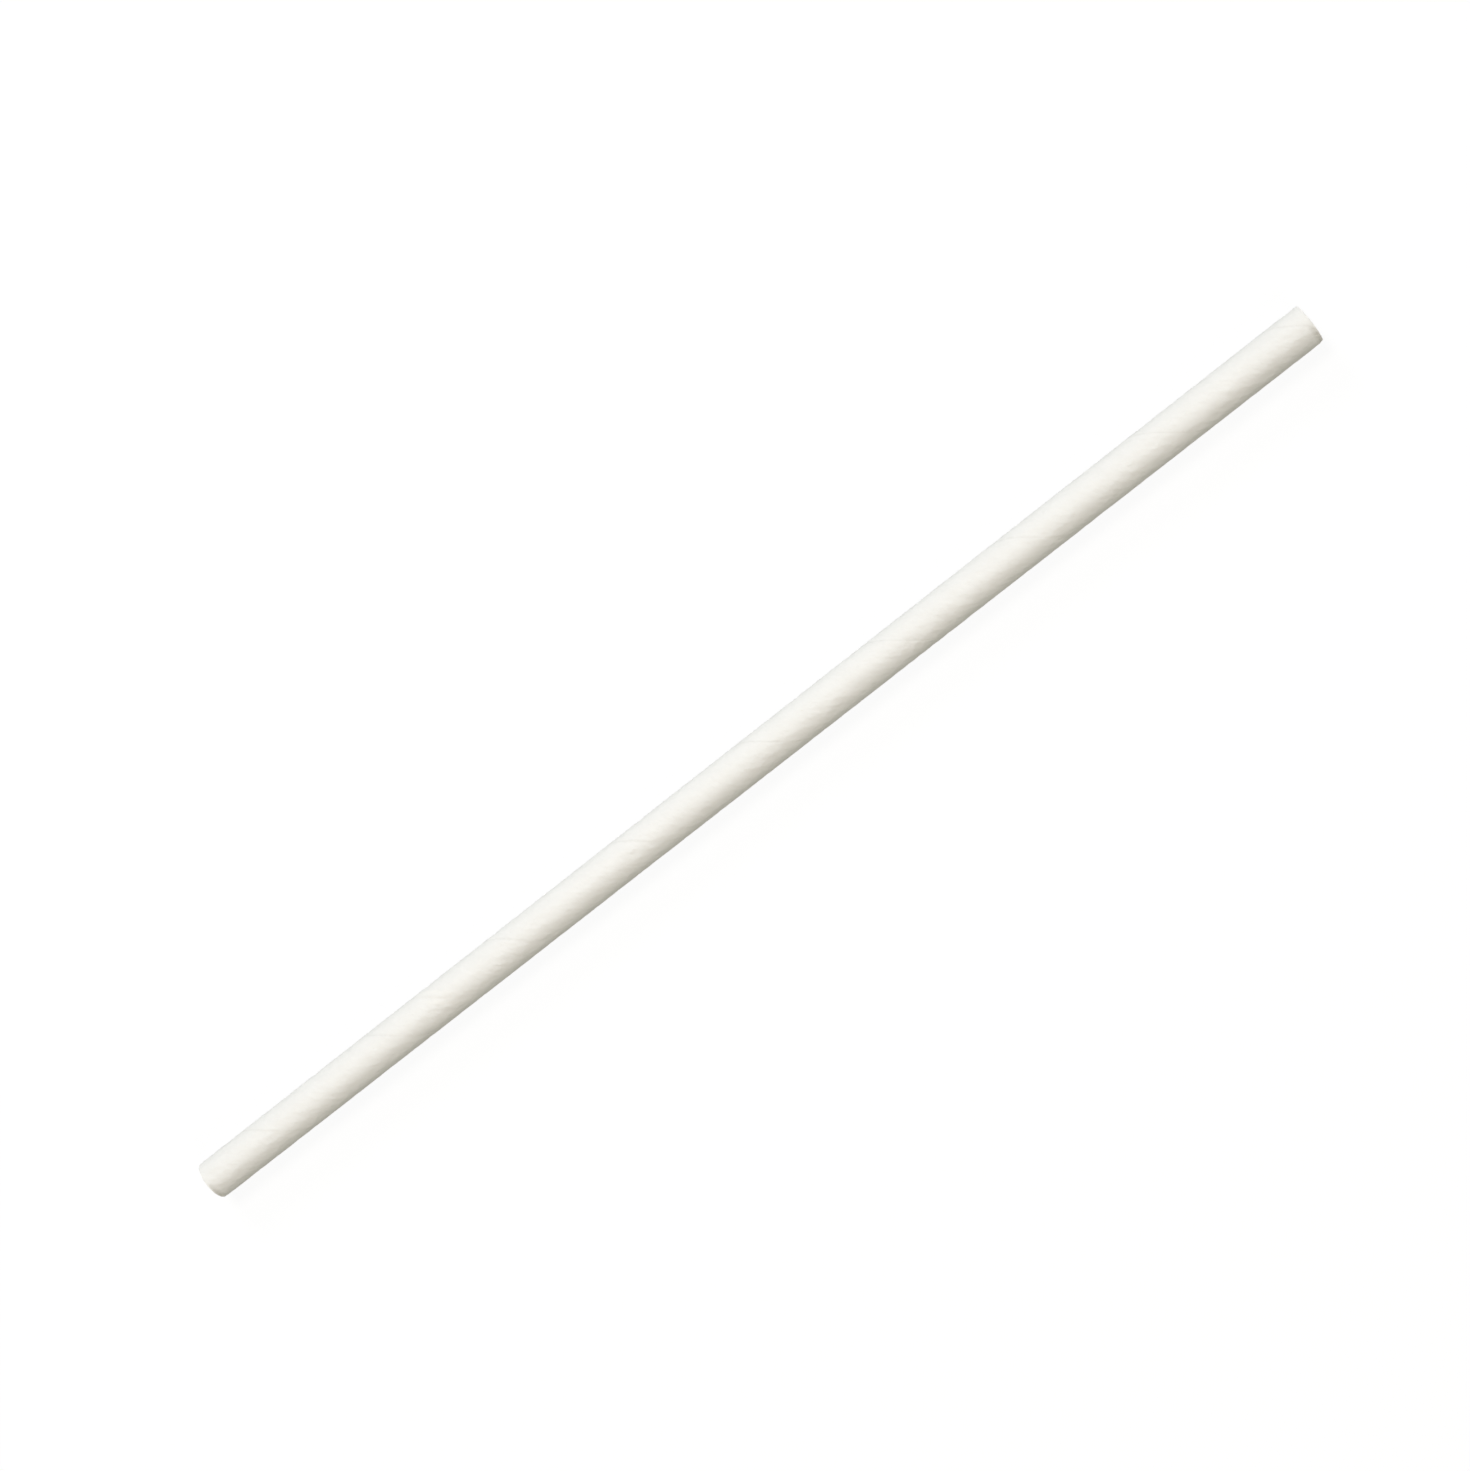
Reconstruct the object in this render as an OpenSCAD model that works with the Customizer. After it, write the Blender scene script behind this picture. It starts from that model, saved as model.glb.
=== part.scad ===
// Paper drinking straw, spiral wound from three strips of paper.
// The strips are wound side by side at one angle round a mandrel and glued.
// The inner and the outer strip each leave a narrow helical seam between their turns,
// and the finished tube is cut square at both ends.
// X runs along the straw, Z is up, and the straw lies on Z = 0.

/* [Tube] */
// Length from cut end to cut end
straw_length = 197; // [120:1:260]
// Outside diameter of the finished tube
outer_diameter = 6; // [5:0.5:12]
// Radius to which the fibres soften the four cut edges
edge_round = 0.04; // [0.02:0.01:0.08]

/* [Paper plies] */
// Thickness of the thin outer strip
outer_ply = 0.08; // [0.06:0.01:0.16]
// Thickness of the middle strip
middle_ply = 0.16; // [0.08:0.01:0.24]
// Thickness of the inner strip
inner_ply = 0.16; // [0.08:0.01:0.24]

/* [Winding] */
// Angle between the outer strip and the straw's length
wind_angle = 39.5; // [30:0.5:60]
// Gap between neighbouring turns of the outer strip
outer_seam = 0.2; // [0.1:0.05:0.5]
// Gap between neighbouring turns of the inner strip
inner_seam = 0.3; // [0.1:0.05:0.5]
// Height of the dried glue along the bottom of both seams
seam_glue = 0.03; // [0.01:0.01:0.05]
// Place of the outer seam round the tube at mid length, counted from the line it lies on
outer_seam_turn = 82; // [0:1:359]
// Place of the inner seam round the tube at mid length, counted from the same line
inner_seam_turn = 144; // [0:1:359]

/* [Hidden] */
paper_white = [0.95, 0.94, 0.92];
outer_radius = outer_diameter / 2;
bore_radius = outer_radius - outer_ply - middle_ply - inner_ply;
// Radii of the glue at the bottom of the two seams
outer_seam_floor = outer_radius - outer_ply + seam_glue;
inner_seam_floor = bore_radius + inner_ply - seam_glue;
// One turn of the winding advances by this much along the straw
lead = 2 * PI * outer_radius / tan(wind_angle);
// Facets of the seams, of the softened edges and of the round wall
steps_per_turn = 24;
edge_steps = 4;
round_facets = 96;
// The seam cutters reach past the paper's surface and ends by this much
overrun = 0.5;

// Quarter circle round a corner's centre, from start_angle on
function soft_corner(centre, start_angle) = [
    for (i = [0:edge_steps])
        let (a = start_angle + 90 * i / edge_steps)
            centre + edge_round * [cos(a), sin(a)]
];

// Half of the wall's section, as radius and length, with its four edges softened
module wall_section() {
    inner_x = bore_radius + edge_round;
    outer_x = outer_radius - edge_round;
    low_y = edge_round;
    high_y = straw_length - edge_round;
    polygon(concat(
        soft_corner([outer_x, low_y], -90),
        soft_corner([outer_x, high_y], 0),
        soft_corner([inner_x, high_y], 90),
        soft_corner([inner_x, low_y], 180)
    ));
}

// Sector between two radii, as wide as the seam's gap where it meets the surface
module seam_sector(gap, surface_radius, low_radius, high_radius) {
    helix_angle = atan(2 * PI * surface_radius / lead);
    width_round_tube = gap / cos(helix_angle);
    half_angle = width_round_tube / surface_radius * 90 / PI;
    polygon([
        for (corner = [[low_radius, -1], [high_radius, -1], [high_radius, 1], [low_radius, 1]])
            let (a = corner[1] * half_angle)
                corner[0] * [cos(a), sin(a)]
    ]);
}

// The sector given as a child, wound along the whole tube as a right-handed helix
module wound(mid_turn) {
    run = straw_length + 2 * overrun;
    turns = run / lead;
    layers = ceil(turns * steps_per_turn);
    translate([0, 0, -overrun])
        linear_extrude(height = run, twist = -360 * turns, slices = layers, convexity = 12)
            rotate(mid_turn - 180 * turns)
                children();
}

// Where neighbouring turns of the outer strip leave a gap, down to the glue
module outer_seam_groove() {
    difference() {
        wound(outer_seam_turn)
            seam_sector(outer_seam, outer_radius, outer_radius - overrun, outer_radius + overrun);
        translate([0, 0, -2 * overrun])
            cylinder(h = straw_length + 4 * overrun, r = outer_seam_floor, $fn = round_facets);
    }
}

// Where neighbouring turns of the inner strip leave a gap, down to the glue
module inner_seam_groove() {
    wound(inner_seam_turn)
        seam_sector(inner_seam, bore_radius, bore_radius - overrun, inner_seam_floor);
}

module straw_tube() {
    color(paper_white)
        translate([-straw_length / 2, 0, outer_radius])
            rotate([0, 90, 0])
                difference() {
                    rotate_extrude($fn = round_facets) wall_section();
                    outer_seam_groove();
                    inner_seam_groove();
                }
}

straw_tube();
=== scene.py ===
# %% [markdown]
# # A paper drinking straw
# A paper straw is wound from three strips of paper, one over the other, round a steel rod.
# The strips are glued face to face, so the tube has helical seams, and a rotary knife cuts
# it square. The construction model holds the exact tube, and this script gives it the
# looks of paper: a finely wound surface, a paper finish, loose fibres where the knife went
# through, and a pale floor with soft light. It starts with the exact model.

# %% Load the exact straw
import math

import bpy
from mathutils import Matrix, Vector


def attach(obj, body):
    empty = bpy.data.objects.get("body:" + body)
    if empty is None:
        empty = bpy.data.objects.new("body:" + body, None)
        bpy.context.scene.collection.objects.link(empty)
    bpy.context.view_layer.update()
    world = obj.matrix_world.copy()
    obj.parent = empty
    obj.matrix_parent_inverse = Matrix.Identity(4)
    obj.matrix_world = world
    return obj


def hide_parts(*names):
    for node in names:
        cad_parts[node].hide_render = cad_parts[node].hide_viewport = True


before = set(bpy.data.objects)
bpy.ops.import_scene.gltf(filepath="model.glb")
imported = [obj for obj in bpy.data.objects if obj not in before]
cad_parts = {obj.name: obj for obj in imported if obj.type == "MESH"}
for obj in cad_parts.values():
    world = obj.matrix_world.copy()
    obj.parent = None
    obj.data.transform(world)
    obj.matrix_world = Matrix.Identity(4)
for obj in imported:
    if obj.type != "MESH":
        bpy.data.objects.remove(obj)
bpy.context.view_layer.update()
print("exact nodes:", sorted(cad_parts))

# %% [markdown]
# ## Sizes
# Blender works in metres, and a straw is described in millimetres, so each size is written
# in millimetres and multiplied once. Nearly all of them are the construction model's own.
# The angles of the inner and the middle seam are counted from the outer seam, because all
# three strips are wound at the same pitch and keep their places to each other. The middle
# seam is closed in the construction model, so its angle is for the looks only, and so are
# the last two sizes: how deep the relief of a surface reaches, and how thick a line of glue
# between two plies shows on the cut rims.

# %% Sizes of the tube and its winding
MM = 0.001
LENGTH = 197 * MM
RADIUS = 3 * MM
WALL = 0.40 * MM
OUTER_PLY = 0.08 * MM
MIDDLE_PLY = 0.16 * MM
WIND_ANGLE = math.radians(39.5)
LEAD = 2 * math.pi * RADIUS / math.tan(WIND_ANGLE)
STRIP_WIDTH = 2 * math.pi * RADIUS * math.cos(WIND_ANGLE)
OUTER_SEAM_AT_MIDDLE = math.radians(82)
INNER_SEAM = math.radians(144 - 82)
MIDDLE_SEAM = math.radians(298 - 82)
SKIN = 0.06 * MM
GLUE_LINE = 0.016 * MM
print(f"one turn takes {LEAD / MM:.2f} mm, the outer strip is {STRIP_WIDTH / MM:.2f} mm wide")

# %% [markdown]
# ## Sums that add nodes
# A node tree is a formula. Drawn as single Math nodes it is hard to read, so this class
# wraps one output socket, and Python's operators add the Math nodes: `1 - mask * 0.3` is
# then written as it is meant. All other nodes come from `Wire.node`, which sets the node's
# choices before its sockets, because a choice can change which sockets there are.

# %% A socket that can be used in a sum
class Wire:
    """One output socket of a node tree."""

    def __init__(self, socket):
        self.socket = socket

    @staticmethod
    def node(tree, kind, settings=None, sockets=None, out=0):
        """Adds a node and returns one of its outputs."""
        made = tree.nodes.new(kind)
        for name, value in (settings or {}).items():
            setattr(made, name, value)
        for key, value in (sockets or {}).items():
            if isinstance(value, Wire):
                tree.links.new(value.socket, made.inputs[key])
            else:
                made.inputs[key].default_value = value
        return Wire(made.outputs[out])

    def beside(self, out):
        """Another output of the same node."""
        return Wire(self.socket.node.outputs[out])

    def math(self, operation, *values):
        tree = self.socket.id_data
        sockets = dict(enumerate(values))
        return Wire.node(tree, "ShaderNodeMath", {"operation": operation}, sockets)

    def __add__(self, other):
        return self.math("ADD", self, other)

    def __sub__(self, other):
        return self.math("SUBTRACT", self, other)

    def __rsub__(self, other):
        return self.math("SUBTRACT", other, self)

    def __mul__(self, other):
        return self.math("MULTIPLY", self, other)

    def __truediv__(self, other):
        return self.math("DIVIDE", self, other)

    def __gt__(self, other):
        return self.math("GREATER_THAN", self, other)

    def __abs__(self):
        return self.math("ABSOLUTE", self)

    __radd__ = __add__
    __rmul__ = __mul__

    def wrapped(self, low, high):
        """The same angle, brought between low and high."""
        return self.math("WRAP", self, high, low)

    def step(self, start, end):
        """0 below start, 1 above end and a smooth rise between them."""
        sockets = {"Value": self, "From Min": start, "From Max": end}
        tree = self.socket.id_data
        return Wire.node(tree, "ShaderNodeMapRange", {"interpolation_type": "SMOOTHSTEP"}, sockets)

    def bell(self, spread):
        """1 where the value is 0, falling to nothing on both sides of it."""
        share = self / spread
        return self.math("EXPONENT", share * share * -1)


# %% [markdown]
# ## Trees that make shapes
# Everything that is wound or repeated comes from a Geometry Nodes tree. Each tree gets its
# sizes as named inputs, so it could be used again for a wider or longer straw. The result
# is then turned into a plain mesh, because the finished piece has to keep its shape without
# the tree.

# %% A tree with named sizes
def new_tree(name, sizes):
    """An empty tree with one input for each size, and the inputs as wires."""
    tree = bpy.data.node_groups.new(name, "GeometryNodeTree")
    tree.interface.new_socket("Shape", in_out="OUTPUT", socket_type="NodeSocketGeometry")
    for label, value in sizes.items():
        kind = "NodeSocketInt" if isinstance(value, int) else "NodeSocketFloat"
        tree.interface.new_socket(label, in_out="INPUT", socket_type=kind)
    given = tree.nodes.new("NodeGroupInput")
    return tree, {label: Wire(given.outputs[label]) for label in sizes}


def end_tree(tree, shape, material):
    """Real faces for all instances, their finish, and the tree's output."""
    shape = Wire.node(tree, "GeometryNodeRealizeInstances", sockets={"Geometry": shape})
    sockets = {"Geometry": shape, "Material": material}
    shape = Wire.node(tree, "GeometryNodeSetMaterial", sockets=sockets)
    tree.links.new(shape.socket, tree.nodes.new("NodeGroupOutput").inputs[0])


# %% From a tree to a plain mesh
def plain_piece(name, tree, sizes, material):
    """A new object whose mesh is what the tree makes with these sizes."""
    piece = bpy.data.objects.new(name, bpy.data.meshes.new(name))
    bpy.context.scene.collection.objects.link(piece)
    modifier = piece.modifiers.new(tree.name, "NODES")
    modifier.node_group = tree
    for item in tree.interface.items_tree:
        if item.in_out == "INPUT":
            modifier[item.identifier] = sizes[item.name]
    depsgraph = bpy.context.evaluated_depsgraph_get()
    made = bpy.data.meshes.new_from_object(
        piece.evaluated_get(depsgraph), preserve_all_data_layers=True, depsgraph=depsgraph
    )
    piece.modifiers.remove(modifier)
    piece.data = made
    made.name = name
    made.materials.clear()
    made.materials.append(material)
    triangles = sum(len(face.vertices) - 2 for face in made.polygons)
    print(f"{name}: {triangles} triangles")
    return piece


# %% [markdown]
# ## The section of the wall
# The wall is one closed loop in section: a long thin rectangle with softened corners, laid
# along the straw. Sweeping it round a ring closes the tube at both rims, so there is no
# open edge. The loop is cut finely along the outside, less finely along the bore, where
# little is seen, and very finely across the two rims, where the three plies show. Towards
# the ends the cuts are drawn together, because the knife has bent the paper there. Two
# values are kept on each point: how far along the straw it lies, and how deep in the paper.

# %% The wall's section as a curve
def wall_section(tree, size):
    shape = Wire.node(
        tree,
        "GeometryNodeCurvePrimitiveQuadrilateral",
        sockets={"Width": size["Length"], "Height": size["Wall"]},
    )
    shape = Wire.node(
        tree,
        "GeometryNodeFilletCurve",
        {"mode": "POLY"},
        {"Curve": shape, "Count": size["Rim Facets"], "Radius": size["Rim Softness"]},
    )
    place = Wire.node(tree, "GeometryNodeInputPosition")
    following = Wire.node(tree, "GeometryNodeOffsetPointInCurve", sockets={"Offset": 1}, out=1)
    next_place = Wire.node(
        tree,
        "GeometryNodeFieldAtIndex",
        {"data_type": "FLOAT_VECTOR"},
        {"Index": following, "Value": place},
    )
    here = Wire.node(tree, "ShaderNodeSeparateXYZ", sockets={0: place})
    there = Wire.node(tree, "ShaderNodeSeparateXYZ", sockets={0: next_place})
    outside = here.beside("Y") > 0
    ring_step = size["Bore Step"] + (size["Outside Step"] - size["Bore Step"]) * outside
    cuts = abs(here - there) / ring_step
    cuts = cuts + abs(here.beside("Y") - there.beside("Y")) / size["Rim Step"]
    shape = Wire.node(tree, "GeometryNodeSubdivideCurve", sockets={"Curve": shape, "Cuts": cuts})
    from_rim = size["Length"] / 2 - size["Rim Softness"] - abs(here)
    from_rim = from_rim.math("MAXIMUM", from_rim, 0)
    drawn = from_rim * size["Crowding"] * from_rim.bell(size["Crowded Length"])
    shape = stored(tree, shape, "along", here + here.math("SIGN", here) * drawn)
    return stored(tree, shape, "deep", size["Wall"] / 2 - here.beside("Y"))


def stored(tree, shape, name, value):
    """The shape, with a value kept on each of its points under a name."""
    sockets = {"Geometry": shape, "Name": name, "Value": value}
    return Wire.node(tree, "GeometryNodeStoreNamedAttribute", sockets=sockets)


# %% [markdown]
# ## The ring and its columns
# The ring has one point for each column of faces. A seam is only a few tenths of a
# millimetre wide, so the columns are drawn together towards the three seams and spread out
# between them. That is cheaper than making all of them narrow. The value kept here is the
# angle from the outer seam.

# %% The ring that the section is swept round
def seam_ring(tree, size):
    ring = Wire.node(
        tree,
        "GeometryNodeCurvePrimitiveCircle",
        sockets={"Resolution": size["Columns"], "Radius": size["Radius"]},
    )
    turn = Wire.node(tree, "GeometryNodeInputIndex") * (2 * math.pi) / size["Columns"]
    drawn = turn
    for seam in (0, size["Inner Seam"], size["Middle Seam"]):
        away = (turn - seam).wrapped(-math.pi, math.pi)
        drawn = drawn - away * size["Crowding"] * away.bell(size["Crowd Reach"])
    return stored(tree, ring, "turn", drawn)


# %% [markdown]
# ## The relief of a wound tube
# Where two turns of the outer strip meet they leave a narrow groove with soft, slightly
# raised edges. The butts of the strips below show through as shallow dips, and at one place
# the middle butt is strained and has let some glue through. The paper also waves a little,
# because the glue dries unevenly, and much less inside, where it lay on the rod. All of it
# presses inwards, and the whole surface is set in by the height of the raised edges, so the
# tube never grows past its true size.

# %% Grooves, dips and waves
def kept(tree, name):
    """A value that was stored on the points."""
    return Wire.node(tree, "GeometryNodeInputNamedAttribute", sockets={"Name": name})


def noise(tree, place, size, detail=2):
    """Noise with patches of about the given size."""
    sockets = {"Vector": place, "Scale": 1 / size, "Detail": detail}
    return Wire.node(tree, "ShaderNodeTexNoise", sockets=sockets)


def wander(tree, along, size, seed):
    """A slow change along a seam, from about 0.7 to 1.3."""
    sockets = {"W": along + seed, "Scale": 1 / size, "Detail": 2}
    return Wire.node(tree, "ShaderNodeTexNoise", {"noise_dimensions": "1D"}, sockets) * 1.2 + 0.4


def away_from(tree, size, seam):
    """The distance from a seam, measured across the strip."""
    turned = abs((kept(tree, "turn") - seam).wrapped(-math.pi, math.pi))
    return turned * size["Strip Width"] / (2 * math.pi)


def groove(tree, away, width, seed):
    """About 1 on the bottom of a butt seam and 0 beside it, soft at its edges."""
    along = kept(tree, "along")
    half = width / 2 * wander(tree, along, 4 * MM, seed)
    return (1 - away.step(half * 0.3, half * 1.4)) * wander(tree, along, 9 * MM, seed + 1)


def hidden_butts(tree, size, strained):
    """How deep the outside dips over the two butts below, and more where one is strained."""
    along = kept(tree, "along")
    over_inner = away_from(tree, size, size["Inner Seam"]).bell(size["Inner Dip Width"])
    over_middle = away_from(tree, size, size["Middle Seam"]).bell(size["Middle Dip Width"])
    over_inner = over_inner * wander(tree, along, 25 * MM, 7.0)
    over_middle = over_middle * (1 + strained * size["Strain"])
    return (over_inner + over_middle) * size["Dip Depth"]


def dried_waves(tree, place):
    """How deep the glue has pulled the paper in, in wide and in narrow waves."""
    wide, narrow = noise(tree, place, 3.5 * MM), noise(tree, place, 1.4 * MM, 1)
    waves = wide * 0.13 * MM + narrow * 0.25 * MM
    stays_flat, soft_start = 0.19 * MM, 0.025 * MM
    return waves.math("SMOOTH_MAX", waves - stays_flat, 0, soft_start)


# %% The relief along the whole tube
def near_surface(depth):
    """1 on a surface of the wall and 0 well below it."""
    return 1 - depth.step(SKIN, 2 * SKIN)


def wall_relief(tree, size, deep, plain, strained):
    """How deep the wall is pressed in, and how far a point lies in the outer groove."""
    outside, inside = near_surface(deep), near_surface(size["Wall"] - deep)
    from_outer = away_from(tree, size, 0)
    from_inner = away_from(tree, size, size["Inner Seam"])
    outer_groove = groove(tree, from_outer, size["Outer Seam Width"], 1.0) * outside
    inner_groove = groove(tree, from_inner, size["Inner Seam Width"], 3.0) * inside
    lips = (from_outer - size["Lip Place"]).bell(size["Lip Width"]) * size["Lip Height"]
    pressed_in = outer_groove * size["Outer Seam Depth"] - inner_groove * size["Inner Seam Depth"]
    pressed_in = pressed_in + (hidden_butts(tree, size, strained) - lips) * outside
    below, at_surface = 0.3, 1.0
    pressed_in = pressed_in + dried_waves(tree, plain) * (below + outside * (at_surface - below))
    return pressed_in, outer_groove


# %% [markdown]
# ## The ends
# A rotary knife goes through the turning tube. It pinches the last half millimetre inwards
# before it cuts, more on one side than on the other and harder at the right end. Near each
# end a darker band of painted shade lies on the side away from the lamps. On the cut face
# the three plies show, with a line of glue between each two. Four masks say where each of
# these is.

# %% What the knife leaves
def between(low, high, side):
    """The value low where side is -1, high where it is 1, and a straight run between."""
    return (low + high) / 2 + (high - low) / 2 * side


def knife_marks(size, along, deep, angle):
    """Where the tube is pinched and cut, where glue shows on the cut, and where shade is painted
    near the ends.
    """
    end = size["Length"] / 2
    lit_side, right_end = angle.math("SINE", angle), along.math("SIGN", along)
    pinched = abs(along).step(end - size["Pinched Length"], end - size["Pinched Rim"])
    pinched = pinched * between(1.0, 0.2, lit_side) * between(0.3, 1.0, right_end)
    # Painted shade: a darker band near each end, on the side away from the lamps.
    end_shade = (abs(along) - end + size["End Shade Place"]).bell(size["End Shade Width"])
    end_shade = end_shade * (1 - lit_side.step(-0.45, 0.15))
    cut = abs(along).step(end - size["Cut Reach"], end - 0.002 * MM)
    glue = (deep - size["Outer Ply"]).bell(GLUE_LINE)
    glue = glue + (deep - size["Outer Ply"] - size["Middle Ply"]).bell(GLUE_LINE)
    return pinched, end_shade, cut, glue


# %% [markdown]
# ## Winding the tube
# Now the section is swept round the ring. That gives a surface whose points know how far
# along, how deep and at which turn they are, and each point is then set at the place that
# follows: on a circle whose angle grows steadily along the straw, so that every column of
# faces becomes a helix beside the seams. The masks stay on the mesh, for the finish.

# %% The wound surface
def wound_tube(sizes, material):
    tree, size = new_tree("wound paper tube", sizes)
    sockets = {"Curve": seam_ring(tree, size), "Profile Curve": wall_section(tree, size)}
    tube = Wire.node(tree, "GeometryNodeCurveToMesh", sockets=sockets)
    along, deep, turn = kept(tree, "along"), kept(tree, "deep"), kept(tree, "turn")
    angle = turn + size["Outer Seam"] + along * (2 * math.pi) / size["Lead"]

    def wrapped_round(radius, far):
        """The place at a distance from the axis, on this point's side of the tube."""
        side = radius * angle.math("SINE", angle)
        height = size["Radius"] - radius * angle.math("COSINE", angle)
        return Wire.node(tree, "ShaderNodeCombineXYZ", sockets={0: far, 1: side, 2: height})

    plain = wrapped_round(size["Radius"] - deep, along)
    outside = near_surface(deep)
    strained = (along - size["Strained At"]).bell(size["Strained Length"])
    pressed_in, outer_groove = wall_relief(tree, size, deep, plain, strained)
    pinched, end_shade, cut, glue = knife_marks(size, along, deep, angle)
    pressed_in = pressed_in + pinched * size["Pinch"]
    pressed_in = pressed_in + cut * outside * noise(tree, plain, 0.5 * MM, 3) * size["Ragged"]
    frayed = noise(tree, plain, 0.3 * MM, 3) * size["Frayed"] + glue * size["Glue Shrinkage"]
    radius = size["Radius"] - size["Set In"] - deep - pressed_in
    far = along - along.math("SIGN", along) * cut * frayed
    sockets = {"Geometry": tube, "Position": wrapped_round(radius, far)}
    tube = Wire.node(tree, "GeometryNodeSetPosition", sockets=sockets)

    from_middle = away_from(tree, size, size["Middle Seam"])
    stain = from_middle.bell(size["Stain Width"])
    creases = (from_middle - size["Crease Place"]).bell(size["Crease Width"])
    masks = {
        "recess": outer_groove,
        "cut": cut,
        "glue": cut * glue,
        # painted shade near the ends, on the side away from the lamps
        "end_shade": end_shade * outside,
        "stain": stain * strained * outside,
        "pale": creases * strained * outside,
    }
    for name, mask in masks.items():
        tube = stored(tree, tube, name, mask)
    tube = strip_map(tree, size, tube, along, turn)
    tube = Wire.node(tree, "GeometryNodeSetShadeSmooth", sockets={0: tube})
    end_tree(tree, tube, material)
    return plain_piece("wound_paper_tube", tree, sizes, material)


# %% [markdown]
# ## A map of the strip
# Paper has a direction: its fibres lie along the strip, and the strip runs round the tube
# as a helix. So the paper's pattern is drawn on a map of the flat strip, in metres along
# and across it. The map has to jump at the outer seam, where one turn of the strip ends
# and the next begins. Each face there takes one side only, which is why the map is kept
# on the corners of the faces and not on the points they share.

# %% Distance along and across the strip
def strip_map(tree, size, tube, along, turn):
    def over_face(value):
        settings = {"domain": "FACE"}
        return Wire.node(tree, "GeometryNodeFieldOnDomain", settings, {"Value": value})

    sine = over_face(turn.math("SINE", turn))
    cosine = over_face(turn.math("COSINE", turn))
    middle = turn.math("ARCTAN2", sine, cosine).wrapped(0, 2 * math.pi)
    own = turn + (middle - turn > math.pi) * (2 * math.pi)
    arc = own * size["Radius"]
    lengthwise = along / math.cos(WIND_ANGLE) + arc * math.sin(WIND_ANGLE)
    across = arc * math.cos(WIND_ANGLE)
    flat = Wire.node(tree, "ShaderNodeCombineXYZ", sockets={0: lengthwise, 1: across})
    return Wire.node(
        tree,
        "GeometryNodeStoreNamedAttribute",
        {"data_type": "FLOAT2", "domain": "CORNER"},
        {"Geometry": tube, "Name": "strip", "Value": flat},
    )


# %% [markdown]
# ## The finish of the paper
# Uncoated white paper is a felt of pale fibres. Held to the light it is cloudy, in patches
# of a few millimetres, and close up it shows short fibres that mostly lie along the strip.
# The clouds and the fibres are noise on the strip's map, stretched along it. The glue in
# the groove is a little darker, and so are the cut rims, where the ends of the fibres
# swallow light. Three more places differ: a band of painted shade near each end, on the
# side away from the lamps, the stain over the strained butt and the pale creases beside it.
# The bore is smoother than the outside, because it was wound on a steel rod. Paper scatters
# light so widely that it is almost fully rough.

# %% Helpers for a paper finish
def mixed(tree, share, first, second):
    """A colour between two others."""
    return Wire.node(
        tree,
        "ShaderNodeMix",
        {"data_type": "RGBA"},
        {0: share, 6: first, 7: second},
        out=2,
    )


def on_mesh(tree, name):
    """A value that the wound tube keeps on its points."""
    return Wire.node(tree, "ShaderNodeAttribute", {"attribute_name": name}, out="Fac")


def patches(tree, strip, along, across, detail):
    """Noise on the strip's map, in patches of the given length and width."""
    place = Wire.node(
        tree, "ShaderNodeMapping", sockets={"Vector": strip, "Scale": (1 / along, 1 / across, 1)}
    )
    return noise(tree, place, 1, detail)


# %% Paper
THIN_PAPER = (0.896, 0.887, 0.853, 1)
THICK_PAPER = (0.926, 0.917, 0.887, 1)
SPECK = (0.80, 0.77, 0.70, 1)
GLUED_GROOVE = (0.74, 0.71, 0.63, 1)
# colour of the painted shade near the ends
PAINTED_END_SHADE = (0.60, 0.58, 0.52, 1)
STAINED_PAPER = (0.80, 0.76, 0.68, 1)
PALE_CREASE = (0.98, 0.96, 0.90, 1)
CUT_FIBRES = (0.72, 0.69, 0.62, 1)
DRIED_GLUE = (0.45, 0.42, 0.35, 1)


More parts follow.
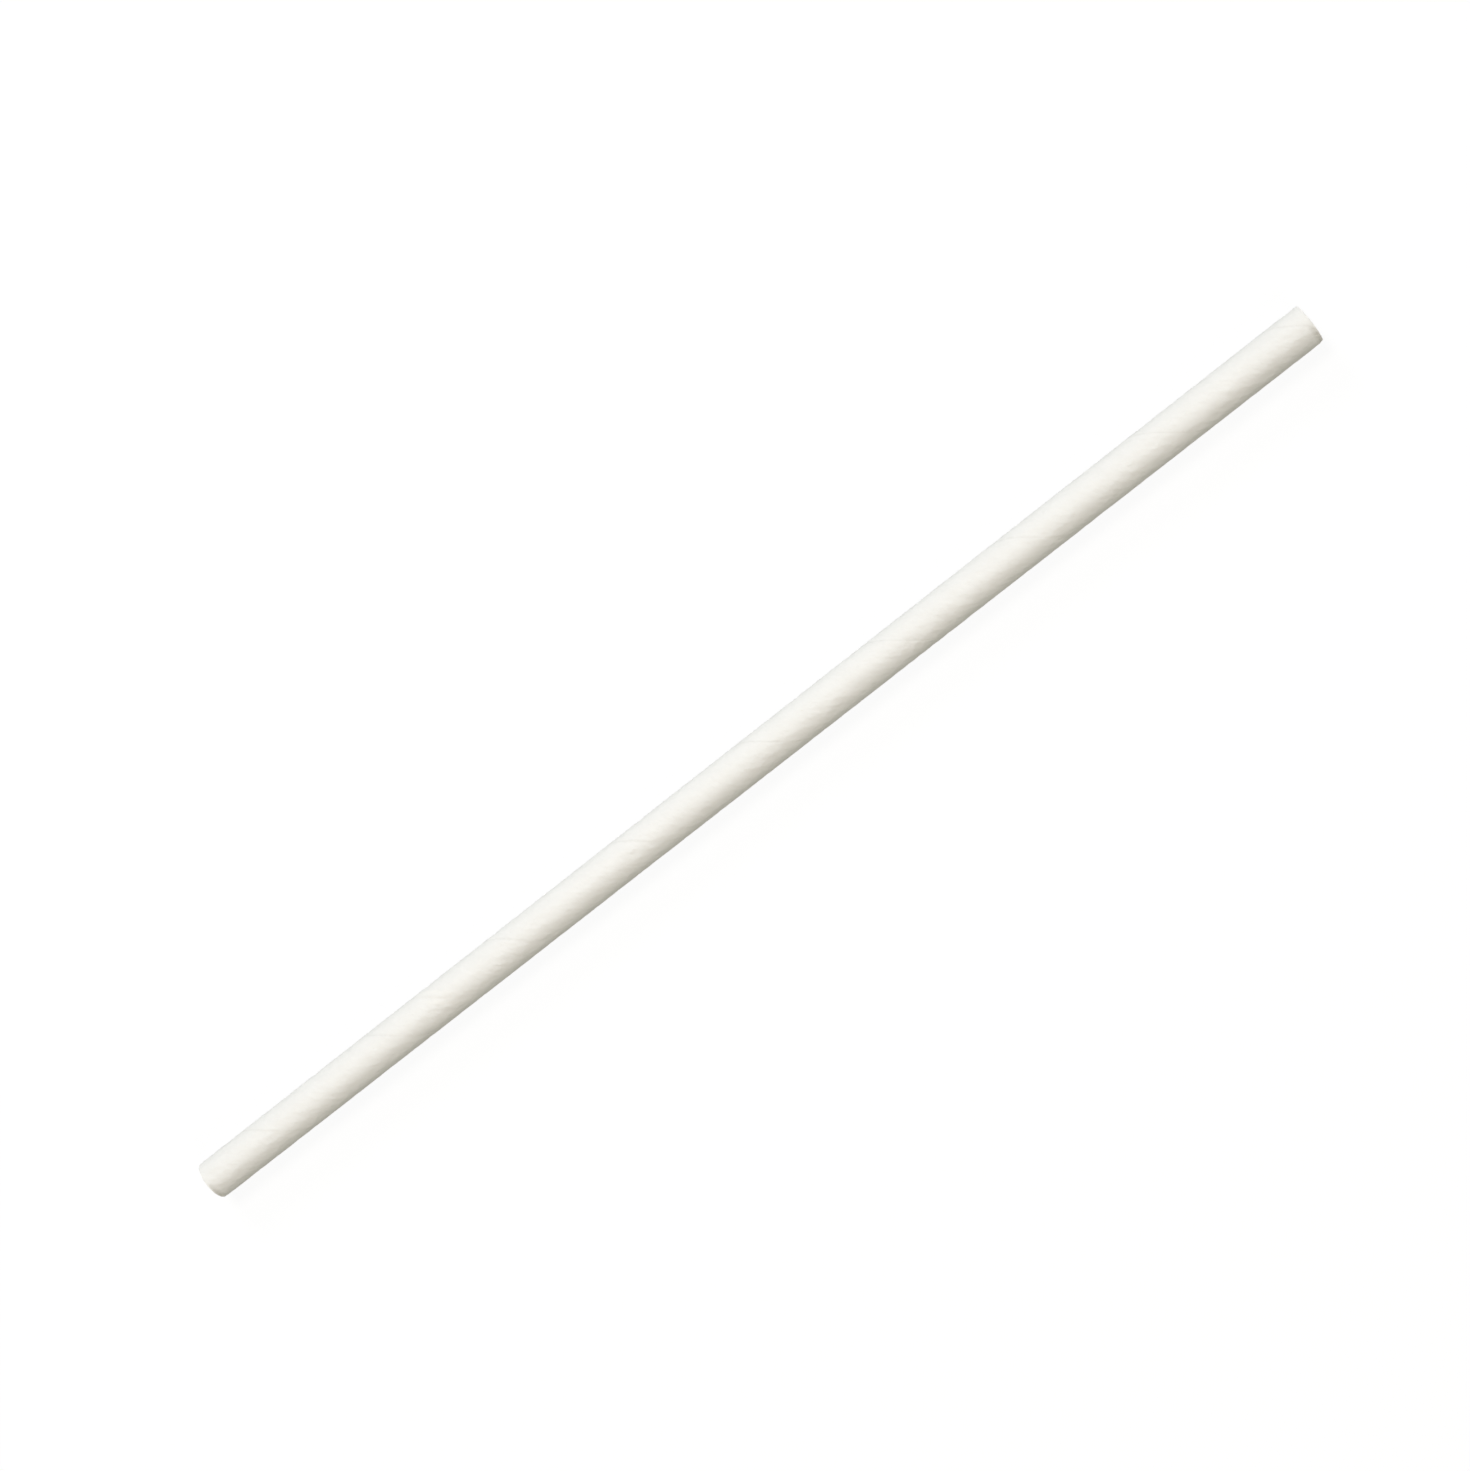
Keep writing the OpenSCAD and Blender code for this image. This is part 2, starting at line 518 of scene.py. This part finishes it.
def paper_finish():
    material = bpy.data.materials.new("white_straw_paper")
    material.use_nodes = True
    tree = material.node_tree
    surface = tree.nodes["Principled BSDF"]
    strip = Wire.node(tree, "ShaderNodeUVMap", {"uv_map": "strip"})
    place = Wire.node(tree, "ShaderNodeTexCoord", out="Object")
    recess, cut, glue = (on_mesh(tree, name) for name in ("recess", "cut", "glue"))
    end_shade, stain, pale = (on_mesh(tree, name) for name in ("end_shade", "stain", "pale"))
    deep = on_mesh(tree, "deep")
    clouds = patches(tree, strip, 3.2 * MM, 2.0 * MM, 3)
    felt = patches(tree, strip, 1.1 * MM, 0.7 * MM, 2)
    fibres = patches(tree, strip, 0.9 * MM, 0.07 * MM, 4)
    specks = patches(tree, strip, 0.6 * MM, 0.1 * MM, 1)
    grain = noise(tree, place, 0.05 * MM, 3)

    tone = clouds.step(0.3, 0.7) * 0.5 + fibres.step(0.25, 0.75) * 0.35 + grain * 0.15
    colour = mixed(tree, tone, THIN_PAPER, THICK_PAPER)
    colour = mixed(tree, specks.step(0.68, 0.80) * 0.5, colour, SPECK)
    colour = mixed(tree, recess * 0.10, colour, GLUED_GROOVE)
    # Painted shade: a darker band near each end, on the side away from the lamps.
    colour = mixed(tree, end_shade * (0.35 + felt * 0.5), colour, PAINTED_END_SHADE)
    colour = mixed(tree, stain * 0.26, colour, STAINED_PAPER)
    colour = mixed(tree, pale * 0.36, colour, PALE_CREASE)
    colour = mixed(tree, cut * (0.45 + grain * 0.4), colour, CUT_FIBRES)
    colour = mixed(tree, glue * 0.7, colour, DRIED_GLUE)
    tree.links.new(colour.socket, surface.inputs["Base Color"])

    rough = 0.80 + fibres * 0.12 - recess * 0.10
    tree.links.new(rough.socket, surface.inputs["Roughness"])
    surface.inputs["Specular IOR Level"].default_value = 0.35

    in_the_bore = deep.step(0.30 * MM, 0.38 * MM)
    height = (felt * 3.0 + fibres * 0.5 + grain * 0.2) * (1 - in_the_bore * 0.7)
    bump = Wire.node(
        tree, "ShaderNodeBump", sockets={"Height": height, "Distance": 0.05 * MM, "Strength": 1}
    )
    tree.links.new(bump.socket, surface.inputs["Normal"])
    return material


paper = paper_finish()
print("paper finish:", len(paper.node_tree.nodes), "nodes")

# %% Wind the tube
TUBE_SIZES = {
    # The tube and its plies
    "Length": LENGTH,
    "Radius": RADIUS,
    "Wall": WALL,
    "Outer Ply": OUTER_PLY,
    "Middle Ply": MIDDLE_PLY,
    # The winding and the two open seams
    "Lead": LEAD,
    "Strip Width": STRIP_WIDTH,
    "Outer Seam": OUTER_SEAM_AT_MIDDLE,
    "Inner Seam": INNER_SEAM,
    "Middle Seam": MIDDLE_SEAM,
    "Outer Seam Width": 0.20 * MM,
    "Outer Seam Depth": 0.010 * MM,
    "Inner Seam Width": 0.30 * MM,
    "Inner Seam Depth": 0.12 * MM,
    "Lip Place": 0.28 * MM,
    "Lip Width": 0.12 * MM,
    "Lip Height": 0.003 * MM,
    "Set In": 0.004 * MM,
    # The butts below the outer strip, and the strained one with its stain and creases
    "Inner Dip Width": 0.25 * MM,
    "Middle Dip Width": 0.30 * MM,
    "Dip Depth": 0.006 * MM,
    "Strain": 5.0,
    "Strained At": -54.4 * MM,
    "Strained Length": 2.8 * MM,
    "Stain Width": 0.26 * MM,
    "Crease Place": 0.75 * MM,
    "Crease Width": 0.28 * MM,
    # The cut ends
    "Rim Softness": 0.09 * MM,
    "Pinch": 0.13 * MM,
    "Pinched Length": 0.65 * MM,
    "Pinched Rim": 0.15 * MM,
    # where the painted shade near the ends lies, and how wide it is
    "End Shade Place": 0.42 * MM,
    "End Shade Width": 0.26 * MM,
    "Cut Reach": 0.08 * MM,
    "Ragged": 0.02 * MM,
    "Frayed": 0.05 * MM,
    "Glue Shrinkage": 0.02 * MM,
    # The faces of the mesh
    "Columns": 96,
    "Crowding": 0.85,
    "Crowd Reach": math.radians(15),
    "Crowded Length": 1.5 * MM,
    "Outside Step": 0.36 * MM,
    "Bore Step": 0.9 * MM,
    "Rim Step": 0.014 * MM,
    "Rim Facets": 5,
}
tube = wound_tube(TUBE_SIZES, paper)
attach(tube, "root")
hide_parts("straw_tube")

# %% [markdown]
# ## Fibres at the cut ends
# The knife leaves a few paper fibres standing at the rims. They are scattered over both
# rims by Geometry Nodes: points with a random angle and depth, and one short bent hair on
# each, turned mostly outwards. The fixed seed gives the same hairs every time.

# %% Loose fibres
def rim_fibres(sizes, material):
    tree, size = new_tree("fibres at the cut ends", sizes)

    def chance(low, high, seed):
        sockets = {"Min": low, "Max": high, "Seed": size["Seed"] + seed}
        settings = {"data_type": "FLOAT"}
        return Wire.node(tree, "FunctionNodeRandomValue", settings, sockets, out=1)

    angle = chance(0.0, 2 * math.pi, 1)
    radius = size["Radius"] - 0.03 * MM - chance(0.0, 1.0, 2) * (size["Wall"] - 0.06 * MM)
    end = chance(-1.0, 1.0, 3)
    end = end.math("SIGN", end)
    far = end * (size["Length"] / 2 - 0.02 * MM)
    side = radius * angle.math("SINE", angle)
    height = size["Radius"] - radius * angle.math("COSINE", angle)
    place = Wire.node(tree, "ShaderNodeCombineXYZ", sockets={0: far, 1: side, 2: height})
    points = Wire.node(
        tree, "GeometryNodePoints", sockets={"Count": size["Count"], "Position": place}
    )
    heading = Wire.node(
        tree,
        "ShaderNodeCombineXYZ",
        sockets={0: end, 1: chance(-1.2, 1.2, 4), 2: chance(-1.2, 1.2, 5)},
    )
    turned = Wire.node(
        tree, "FunctionNodeAlignRotationToVector", {"axis": "Z"}, {"Vector": heading}
    )
    hairs = Wire.node(
        tree,
        "GeometryNodeInstanceOnPoints",
        sockets={
            "Points": points,
            "Instance": bent_hair(tree, size),
            "Rotation": turned,
            "Scale": chance(0.4, 1.0, 6),
        },
    )
    end_tree(tree, hairs, material)
    return plain_piece("rim_fibres", tree, sizes, material)


# %% One bent hair
def bent_hair(tree, size):
    length = size["Fibre Length"]

    def spot(aside, up):
        return Wire.node(tree, "ShaderNodeCombineXYZ", sockets={0: length * aside, 2: length * up})

    sockets = {"Resolution": 4}
    sockets.update({"Start": spot(0, -0.2), "Middle": spot(0.02, 0.5), "End": spot(0.3, 0.9)})
    line = Wire.node(tree, "GeometryNodeCurveQuadraticBezier", sockets=sockets)
    round_end = Wire.node(
        tree,
        "GeometryNodeCurvePrimitiveCircle",
        sockets={"Resolution": 4, "Radius": size["Fibre Radius"]},
    )
    sockets = {"Curve": line, "Profile Curve": round_end, "Fill Caps": True}
    return Wire.node(tree, "GeometryNodeCurveToMesh", sockets=sockets)


# %% Finish and place of the fibres
def fibre_finish():
    material = bpy.data.materials.new("loose_paper_fibre")
    material.use_nodes = True
    tree = material.node_tree
    surface = tree.nodes["Principled BSDF"]
    place = Wire.node(tree, "ShaderNodeTexCoord", out="Object")
    tone = noise(tree, place, 0.4 * MM, 2)
    colour = mixed(tree, tone, (0.82, 0.80, 0.74, 1), (0.93, 0.92, 0.89, 1))
    tree.links.new(colour.socket, surface.inputs["Base Color"])
    tree.links.new((0.75 + tone * 0.2).socket, surface.inputs["Roughness"])
    return material


FIBRE_SIZES = {
    "Length": LENGTH,
    "Radius": RADIUS,
    "Wall": WALL,
    "Count": 240,
    "Seed": 7,
    "Fibre Length": 0.14 * MM,
    "Fibre Radius": 0.006 * MM,
}
fibres = rim_fibres(FIBRE_SIZES, fibre_finish())
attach(fibres, "root")

# %% [markdown]
# ## The floor
# The straw lies on a white table that has no edge in view. Lit plainly, a white table
# still renders a little grey, so for the camera most of its brightness comes from its own
# emission, and only a small part from the light that falls on it. That small part carries
# the straw's soft shadow. The lamps don't reach the far parts of the table, so there the
# emission makes up for them. For every other ray it is a grey board without any glow, so it
# lights the straw from below only as far as the lamps light it.

# %% White table
def seen_directly(tree):
    """1 for what the camera sees straight, in a mirror or through glass."""
    ray = Wire.node(tree, "ShaderNodeLightPath", out="Is Camera Ray")
    seen = ray + ray.beside("Is Glossy Ray") + ray.beside("Is Transmission Ray")
    return ray.math("MINIMUM", seen, 1)


def white_table(half_size):
    mesh = bpy.data.meshes.new("table")
    corners = [(-half_size, -half_size, 0), (half_size, -half_size, 0)]
    corners += [(half_size, half_size, 0), (-half_size, half_size, 0)]
    mesh.from_pydata(corners, [], [(0, 1, 2, 3)])
    table = bpy.data.objects.new("table", mesh)
    bpy.context.scene.collection.objects.link(table)
    material = bpy.data.materials.new("white_table")
    material.use_nodes = True
    tree = material.node_tree
    surface = tree.nodes["Principled BSDF"]
    seen = seen_directly(tree)
    board = mixed(tree, seen, (0.24, 0.24, 0.22, 1), (0.09, 0.09, 0.09, 1))
    place = Wire.node(tree, "ShaderNodeTexCoord", out="Object")
    far = Wire.node(tree, "ShaderNodeVectorMath", {"operation": "LENGTH"}, {0: place}, out="Value")
    lamps_reach, all_dark = 0.3, 1.6
    unlit = far.step(lamps_reach, all_dark)
    glow = mixed(tree, unlit, (0.925, 0.925, 0.925, 1), (1, 1, 1, 1))
    glow = mixed(tree, seen, (0, 0, 0, 1), glow)
    tree.links.new(board.socket, surface.inputs["Base Color"])
    tree.links.new(glow.socket, surface.inputs["Emission Color"])
    surface.inputs["Emission Strength"].default_value = 1
    surface.inputs["Roughness"].default_value = 1
    surface.inputs["Specular IOR Level"].default_value = 0
    mesh.materials.append(material)
    return table


table = white_table(3.0)
print("table is", table.dimensions.x, "m wide")

# %% [markdown]
# ## The light
# A small white thing on a white table needs light that shows its roundness. Three round
# lamps do that, all of them wide beside the thin straw: the brightest stands high on the
# lit side, a cooler one lower on the same side, and a warm weak one opens the shade from the
# other. Two small lamps stand low beyond the two ends: they hardly touch the round wall,
# but they show the cut rims and let some light into the bore. A dim white surrounding fills
# the rest. The levels are chosen so that white paper facing the lamps renders about as it is
# written, neither burnt out nor grey.

# %% Lamps and surroundings
def round_lamp(name, tilt, turn, width, level, colour):
    """A lamp tilted from upright towards +Y, then turned towards +X.

    White paper that faces the lamp returns its level.
    """
    distance = 0.8
    light = bpy.data.lights.new(name, "AREA")
    light.shape = "DISK"
    light.size = width
    light.color = colour
    light.energy = level * math.pi ** 2 * distance ** 2
    lamp = bpy.data.objects.new(name, light)
    tilted = Matrix.Rotation(math.radians(-tilt), 3, "X")
    turned = Matrix.Rotation(math.radians(-turn), 3, "Z")
    place = turned @ tilted @ Vector((0, 0, distance))
    facing = place.to_track_quat("Z", "Y").to_matrix().to_4x4()
    lamp.matrix_world = Matrix.Translation(place) @ facing
    bpy.context.scene.collection.objects.link(lamp)
    print(f"{name}: {light.energy:.2f} W")


def white_surroundings(fill):
    world = bpy.data.worlds.new("studio")
    bpy.context.scene.world = world
    world.use_nodes = True
    tree = world.node_tree
    background = tree.nodes["Background"]
    glow = mixed(tree, seen_directly(tree), fill, (1, 1, 1, 1))
    tree.links.new(glow.socket, background.inputs["Color"])
    background.inputs["Strength"].default_value = 1


round_lamp("main_lamp", 29, 0, 0.25, 0.512, (1, 0.932, 0.906))
round_lamp("low_lamp", 60, 0, 0.25, 0.444, (0.840, 0.941, 1))
round_lamp("shade_lamp", 51, 180, 0.45, 0.295, (1, 0.98, 0.86))
round_lamp("right_end_lamp", 84, 90, 0.16, 0.30, (1, 0.98, 0.93))
round_lamp("left_end_lamp", 84, -90, 0.16, 0.30, (1, 0.98, 0.93))
white_surroundings((0.105, 0.102, 0.091, 1))

# %% [markdown]
# ## The camera
# The camera looks down on the lying straw and is turned so that the straw runs from the
# lower left to the upper right. In the photograph the straw is a tenth wider at its upper
# right end, so the camera stands nearer to that end and leans back towards the middle. The
# lens follows from how many pixels one millimetre takes at the middle of the straw, in an
# image 1471 pixels high.

# %% Camera above the straw
def place_camera():
    image_height = 1471
    pixels_per_mm = 7.133
    distance = 390 * MM
    camera = bpy.data.cameras.new("camera")
    camera.sensor_width = 36
    camera.lens = camera.sensor_width * distance / MM * pixels_per_mm / image_height
    holder = bpy.data.objects.new("camera", camera)
    turn = math.radians(38.08)
    lean = Matrix.Rotation(math.radians(8), 3, "Y")
    right = lean @ Vector((math.cos(turn), -math.sin(turn), 0))
    up = lean @ Vector((math.sin(turn), math.cos(turn), 0))
    towards_camera = lean @ Vector((0, 0, 1))
    # The straw's middle lies this many pixels right of and above the middle of the image.
    aside, above = 7.1, -31.5
    off_centre = (right * aside + up * above) / pixels_per_mm * MM
    centre = Vector((0, 0, RADIUS)) - off_centre
    view = Matrix((right, up, towards_camera)).transposed().to_4x4()
    view.translation = centre + towards_camera * distance
    holder.matrix_world = view
    bpy.context.scene.collection.objects.link(holder)
    bpy.context.scene.camera = holder
    return camera


camera = place_camera()
print(f"lens {camera.lens:.1f} mm")

# %% [markdown]
# ## Colour
# The Standard view shows colours as they are written.

# %% Colour view
bpy.context.scene.view_settings.view_transform = "Standard"
